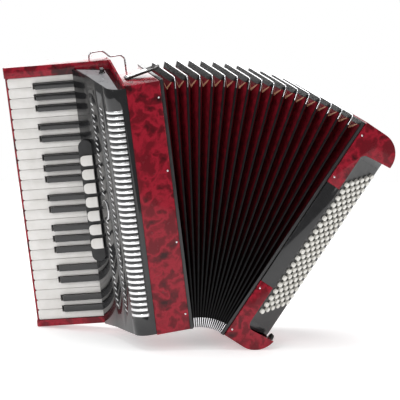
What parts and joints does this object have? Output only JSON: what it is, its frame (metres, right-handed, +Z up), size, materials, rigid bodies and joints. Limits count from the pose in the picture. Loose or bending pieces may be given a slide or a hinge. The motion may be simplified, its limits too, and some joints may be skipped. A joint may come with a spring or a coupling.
{
  "type": "piano accordion",
  "caption": "Piano accordion with its bellows fanned open: hinged keys, register paddles, slotted grille, pleated bellows that fold shut and a slanted board of bass buttons.",
  "frame": {"origin": "on the floor under the middle of the instrument, as it stands fanned open", "axes": "+Z up, +X from the keyboard to the bass buttons, +Y from the front to the player"},
  "size_m": [0.6998, 0.2281, 0.5247],
  "materials": {
    "red_pearl": "polished pearloid celluloid, red with darker clouds",
    "black_gloss": "polished black",
    "black_matte": "satin black",
    "bright_screen": "bright rolled",
    "steel": "drawn rod",
    "chrome": "bright chrome plate",
    "spruce": "planed spruce and beech",
    "soundboard_alloy": "milled plate",
    "black_leather": "smooth black leather",
    "bellows_frame_black": "wood covered with black cloth",
    "bellows_board": "card covered with red and black cloth",
    "white_key": "polished ivory white",
    "black_key": "polished black",
    "white_paddle": "polished white",
    "white_button": "polished white",
    "rubber": "moulded black rubber"
  },
  "bodies": {
    "treble": {"treble_case": "red_pearl", "keyboard_frame": "red_pearl", "key_axle": "steel", "treble_grille": "black_gloss", "grille_screen": "bright_screen", "register_bank": "black_matte", "treble_soundboard": "soundboard_alloy", "treble_reed_blocks": "spruce", "strap_bracket": "chrome", "treble_bellows_frame": "bellows_frame_black"},
    "bellows_strap": {"bellows_strap": "black_leather"},
    "bass": {"bass_bellows_frame": "bellows_frame_black", "bass_case": "red_pearl", "bass_front_panel": "black_gloss", "bass_button_board": "black_matte", "bass_reed_blocks": "spruce", "bass_strap": "black_leather", "bass_feet": "rubber"},
    "air_button": {"air_button": "white_button"},
    "fold_01": {"bellows_fold_01": "bellows_board"},
    "fold_02": {"bellows_fold_02": "bellows_board"},
    "fold_03": {"bellows_fold_03": "bellows_board"},
    "fold_04": {"bellows_fold_04": "bellows_board"},
    "fold_05": {"bellows_fold_05": "bellows_board"},
    "fold_06": {"bellows_fold_06": "bellows_board"},
    "fold_07": {"bellows_fold_07": "bellows_board"},
    "fold_08": {"bellows_fold_08": "bellows_board"},
    "fold_09": {"bellows_fold_09": "bellows_board"},
    "fold_10": {"bellows_fold_10": "bellows_board"},
    "fold_11": {"bellows_fold_11": "bellows_board"},
    "fold_12": {"bellows_fold_12": "bellows_board"},
    "fold_13": {"bellows_fold_13": "bellows_board"},
    "fold_14": {"bellows_fold_14": "bellows_board"},
    "fold_15": {"bellows_fold_15": "bellows_board"},
    "fold_16": {"bellows_fold_16": "bellows_board"},
    "notes_c": {"keys_c": "white_key"},
    "notes_c_sharp": {"keys_c_sharp": "black_key"},
    "notes_d": {"keys_d": "white_key"},
    "notes_d_sharp": {"keys_d_sharp": "black_key"},
    "notes_e": {"keys_e": "white_key"},
    "notes_f": {"keys_f": "white_key"},
    "notes_f_sharp": {"keys_f_sharp": "black_key"},
    "notes_g": {"keys_g": "white_key"},
    "notes_g_sharp": {"keys_g_sharp": "black_key"},
    "notes_a": {"keys_a": "white_key"},
    "notes_a_sharp": {"keys_a_sharp": "black_key"},
    "notes_b": {"keys_b": "white_key"},
    "switch_1": {"register_switch_1": "white_paddle"},
    "switch_2": {"register_switch_2": "white_paddle"},
    "switch_3": {"register_switch_3": "white_paddle"},
    "switch_4": {"register_switch_4": "white_paddle"},
    "switch_5": {"register_switch_5": "white_paddle"},
    "switch_6": {"register_switch_6": "white_paddle"},
    "switch_7": {"register_switch_7": "white_paddle"},
    "bass_row_1": {"bass_buttons_row_1": "white_button"},
    "bass_row_2": {"bass_buttons_row_2": "white_button"},
    "bass_row_3": {"bass_buttons_row_3": "white_button"},
    "bass_row_4": {"bass_buttons_row_4": "white_button"},
    "bass_row_5": {"bass_buttons_row_5": "white_button"},
    "bass_row_6": {"bass_buttons_row_6": "white_button"}
  },
  "joints": [
    {"name": "bellows_fan", "type": "hinge", "parent": "treble", "child": "bass", "pos_m": [0.00863, -0.0195, 0.04133], "axis": [0, 1, 0], "range_deg": [-41.8, 6]},
    {"name": "fold_01_hinge", "type": "hinge", "parent": "treble", "child": "fold_01", "pos_m": [-0.01797, -0.0195, 0.0402], "axis": [0, 1, 0], "range_deg": [-2.76, 0.65]},
    {"name": "fold_02_hinge", "type": "hinge", "parent": "treble", "child": "fold_02", "pos_m": [-0.01633, -0.0195, 0.04045], "axis": [0, 1, 0], "range_deg": [-5.22, 1.01]},
    {"name": "fold_03_hinge", "type": "hinge", "parent": "treble", "child": "fold_03", "pos_m": [-0.0147, -0.0195, 0.04067], "axis": [0, 1, 0], "range_deg": [-7.68, 1.36]},
    {"name": "fold_04_hinge", "type": "hinge", "parent": "treble", "child": "fold_04", "pos_m": [-0.01306, -0.0195, 0.04087], "axis": [0, 1, 0], "range_deg": [-10.13, 1.71]},
    {"name": "fold_05_hinge", "type": "hinge", "parent": "treble", "child": "fold_05", "pos_m": [-0.01141, -0.0195, 0.04105], "axis": [0, 1, 0], "range_deg": [-12.59, 2.06]},
    {"name": "fold_06_hinge", "type": "hinge", "parent": "treble", "child": "fold_06", "pos_m": [-0.00977, -0.0195, 0.0412], "axis": [0, 1, 0], "range_deg": [-15.05, 2.42]},
    {"name": "fold_07_hinge", "type": "hinge", "parent": "treble", "child": "fold_07", "pos_m": [-0.00812, -0.0195, 0.04133], "axis": [0, 1, 0], "range_deg": [-17.51, 2.77]},
    {"name": "fold_08_hinge", "type": "hinge", "parent": "treble", "child": "fold_08", "pos_m": [-0.00646, -0.0195, 0.04144], "axis": [0, 1, 0], "range_deg": [-19.97, 3.12]},
    {"name": "fold_09_hinge", "type": "hinge", "parent": "treble", "child": "fold_09", "pos_m": [-0.0048, -0.0195, 0.04152], "axis": [0, 1, 0], "range_deg": [-22.43, 3.48]},
    {"name": "fold_10_hinge", "type": "hinge", "parent": "treble", "child": "fold_10", "pos_m": [-0.00313, -0.0195, 0.04158], "axis": [0, 1, 0], "range_deg": [-24.89, 3.83]},
    {"name": "fold_11_hinge", "type": "hinge", "parent": "treble", "child": "fold_11", "pos_m": [-0.00147, -0.0195, 0.04162], "axis": [0, 1, 0], "range_deg": [-27.35, 4.18]},
    {"name": "fold_12_hinge", "type": "hinge", "parent": "treble", "child": "fold_12", "pos_m": [0.00021, -0.0195, 0.04163], "axis": [0, 1, 0], "range_deg": [-29.81, 4.54]},
    {"name": "fold_13_hinge", "type": "hinge", "parent": "treble", "child": "fold_13", "pos_m": [0.00188, -0.0195, 0.04162], "axis": [0, 1, 0], "range_deg": [-32.27, 4.89]},
    {"name": "fold_14_hinge", "type": "hinge", "parent": "treble", "child": "fold_14", "pos_m": [0.00356, -0.0195, 0.04158], "axis": [0, 1, 0], "range_deg": [-34.72, 5.24]},
    {"name": "fold_15_hinge", "type": "hinge", "parent": "treble", "child": "fold_15", "pos_m": [0.00525, -0.0195, 0.04152], "axis": [0, 1, 0], "range_deg": [-37.18, 5.59]},
    {"name": "fold_16_hinge", "type": "hinge", "parent": "treble", "child": "fold_16", "pos_m": [0.00694, -0.0195, 0.04144], "axis": [0, 1, 0], "range_deg": [-39.64, 5.95]},
    {"name": "press_c", "type": "hinge", "parent": "treble", "child": "notes_c", "pos_m": [-0.17873, 0.03145, 0.25896], "axis": [0.1709, 0, -0.9853], "range_deg": [0, 2.6], "stiffness_Nm_per_rad": 1.5, "springref_deg": -5.73},
    {"name": "press_c_sharp", "type": "hinge", "parent": "treble", "child": "notes_c_sharp", "pos_m": [-0.17873, 0.03145, 0.25896], "axis": [0.1709, 0, -0.9853], "range_deg": [0, 2.6], "stiffness_Nm_per_rad": 1.5, "springref_deg": -5.73},
    {"name": "press_d", "type": "hinge", "parent": "treble", "child": "notes_d", "pos_m": [-0.17873, 0.03145, 0.25896], "axis": [0.1709, 0, -0.9853], "range_deg": [0, 2.6], "stiffness_Nm_per_rad": 1.5, "springref_deg": -5.73},
    {"name": "press_d_sharp", "type": "hinge", "parent": "treble", "child": "notes_d_sharp", "pos_m": [-0.17873, 0.03145, 0.25896], "axis": [0.1709, 0, -0.9853], "range_deg": [0, 2.6], "stiffness_Nm_per_rad": 1.5, "springref_deg": -5.73},
    {"name": "press_e", "type": "hinge", "parent": "treble", "child": "notes_e", "pos_m": [-0.17873, 0.03145, 0.25896], "axis": [0.1709, 0, -0.9853], "range_deg": [0, 2.6], "stiffness_Nm_per_rad": 1.5, "springref_deg": -5.73},
    {"name": "press_f", "type": "hinge", "parent": "treble", "child": "notes_f", "pos_m": [-0.17873, 0.03145, 0.25896], "axis": [0.1709, 0, -0.9853], "range_deg": [0, 2.6], "stiffness_Nm_per_rad": 2, "springref_deg": -5.73},
    {"name": "press_f_sharp", "type": "hinge", "parent": "treble", "child": "notes_f_sharp", "pos_m": [-0.17873, 0.03145, 0.25896], "axis": [0.1709, 0, -0.9853], "range_deg": [0, 2.6], "stiffness_Nm_per_rad": 2, "springref_deg": -5.73},
    {"name": "press_g", "type": "hinge", "parent": "treble", "child": "notes_g", "pos_m": [-0.17873, 0.03145, 0.25896], "axis": [0.1709, 0, -0.9853], "range_deg": [0, 2.6], "stiffness_Nm_per_rad": 2, "springref_deg": -5.73},
    {"name": "press_g_sharp", "type": "hinge", "parent": "treble", "child": "notes_g_sharp", "pos_m": [-0.17873, 0.03145, 0.25896], "axis": [0.1709, 0, -0.9853], "range_deg": [0, 2.6], "stiffness_Nm_per_rad": 2, "springref_deg": -5.73},
    {"name": "press_a", "type": "hinge", "parent": "treble", "child": "notes_a", "pos_m": [-0.17873, 0.03145, 0.25896], "axis": [0.1709, 0, -0.9853], "range_deg": [0, 2.6], "stiffness_Nm_per_rad": 2, "springref_deg": -5.73},
    {"name": "press_a_sharp", "type": "hinge", "parent": "treble", "child": "notes_a_sharp", "pos_m": [-0.17873, 0.03145, 0.25896], "axis": [0.1709, 0, -0.9853], "range_deg": [0, 2.6], "stiffness_Nm_per_rad": 1.5, "springref_deg": -5.73},
    {"name": "press_b", "type": "hinge", "parent": "treble", "child": "notes_b", "pos_m": [-0.17873, 0.03145, 0.25896], "axis": [0.1709, 0, -0.9853], "range_deg": [0, 2.6], "stiffness_Nm_per_rad": 1.5, "springref_deg": -5.73},
    {"name": "register_1", "type": "hinge", "parent": "treble", "child": "switch_1", "pos_m": [-0.19865, -0.01331, 0.33051], "axis": [0.1709, 0, -0.9853], "range_deg": [0, 6]},
    {"name": "register_2", "type": "hinge", "parent": "treble", "child": "switch_2", "pos_m": [-0.19424, -0.01331, 0.30509], "axis": [0.1709, 0, -0.9853], "range_deg": [0, 6]},
    {"name": "register_3", "type": "hinge", "parent": "treble", "child": "switch_3", "pos_m": [-0.18983, -0.01331, 0.27967], "axis": [0.1709, 0, -0.9853], "range_deg": [0, 6]},
    {"name": "register_4", "type": "hinge", "parent": "treble", "child": "switch_4", "pos_m": [-0.18542, -0.01331, 0.25425], "axis": [0.1709, 0, -0.9853], "range_deg": [0, 6]},
    {"name": "register_5", "type": "hinge", "parent": "treble", "child": "switch_5", "pos_m": [-0.18101, -0.01331, 0.22883], "axis": [0.1709, 0, -0.9853], "range_deg": [0, 6]},
    {"name": "register_6", "type": "hinge", "parent": "treble", "child": "switch_6", "pos_m": [-0.1766, -0.01331, 0.20341], "axis": [0.1709, 0, -0.9853], "range_deg": [0, 6]},
    {"name": "register_7", "type": "hinge", "parent": "treble", "child": "switch_7", "pos_m": [-0.17219, -0.01331, 0.17799], "axis": [0.1709, 0, -0.9853], "range_deg": [0, 6]},
    {"name": "press_bass_row_1", "type": "slide", "parent": "bass", "child": "bass_row_1", "axis": [-0.5485, 0.7629, 0.3422], "range_m": [0, 0.004], "stiffness_N_per_m": 300, "springref_m": -0.003},
    {"name": "press_bass_row_2", "type": "slide", "parent": "bass", "child": "bass_row_2", "axis": [-0.5485, 0.7629, 0.3422], "range_m": [0, 0.004], "stiffness_N_per_m": 300, "springref_m": -0.003},
    {"name": "press_bass_row_3", "type": "slide", "parent": "bass", "child": "bass_row_3", "axis": [-0.5485, 0.7629, 0.3422], "range_m": [0, 0.004], "stiffness_N_per_m": 300, "springref_m": -0.003},
    {"name": "press_bass_row_4", "type": "slide", "parent": "bass", "child": "bass_row_4", "axis": [-0.5485, 0.7629, 0.3422], "range_m": [0, 0.004], "stiffness_N_per_m": 300, "springref_m": -0.003},
    {"name": "press_bass_row_5", "type": "slide", "parent": "bass", "child": "bass_row_5", "axis": [-0.5485, 0.7629, 0.3422], "range_m": [0, 0.004], "stiffness_N_per_m": 300, "springref_m": -0.003},
    {"name": "press_bass_row_6", "type": "slide", "parent": "bass", "child": "bass_row_6", "axis": [-0.5485, 0.7629, 0.3422], "range_m": [0, 0.004], "stiffness_N_per_m": 300, "springref_m": -0.003},
    {"name": "press_air_button", "type": "slide", "parent": "bass", "child": "air_button", "axis": [-0.8484, 0, 0.5293], "range_m": [0, 0.004], "stiffness_N_per_m": 300, "springref_m": -0.003},
    {"name": "bellows_strap_hinge", "type": "hinge", "parent": "treble", "child": "bellows_strap", "pos_m": [-0.15091, -0.063, 0.48748], "axis": [0, -1, 0], "range_deg": [-10, 95]}
  ],
  "couplings": [
    {"joint": "fold_01_hinge", "follows": "bellows_fan", "ratio": 0.058824},
    {"joint": "fold_02_hinge", "follows": "bellows_fan", "ratio": 0.11765},
    {"joint": "fold_03_hinge", "follows": "bellows_fan", "ratio": 0.17647},
    {"joint": "fold_04_hinge", "follows": "bellows_fan", "ratio": 0.23529},
    {"joint": "fold_05_hinge", "follows": "bellows_fan", "ratio": 0.29412},
    {"joint": "fold_06_hinge", "follows": "bellows_fan", "ratio": 0.35294},
    {"joint": "fold_07_hinge", "follows": "bellows_fan", "ratio": 0.41176},
    {"joint": "fold_08_hinge", "follows": "bellows_fan", "ratio": 0.47059},
    {"joint": "fold_09_hinge", "follows": "bellows_fan", "ratio": 0.52941},
    {"joint": "fold_10_hinge", "follows": "bellows_fan", "ratio": 0.58823},
    {"joint": "fold_11_hinge", "follows": "bellows_fan", "ratio": 0.64706},
    {"joint": "fold_12_hinge", "follows": "bellows_fan", "ratio": 0.70588},
    {"joint": "fold_13_hinge", "follows": "bellows_fan", "ratio": 0.76471},
    {"joint": "fold_14_hinge", "follows": "bellows_fan", "ratio": 0.82353},
    {"joint": "fold_15_hinge", "follows": "bellows_fan", "ratio": 0.88235},
    {"joint": "fold_16_hinge", "follows": "bellows_fan", "ratio": 0.94118}
  ]
}
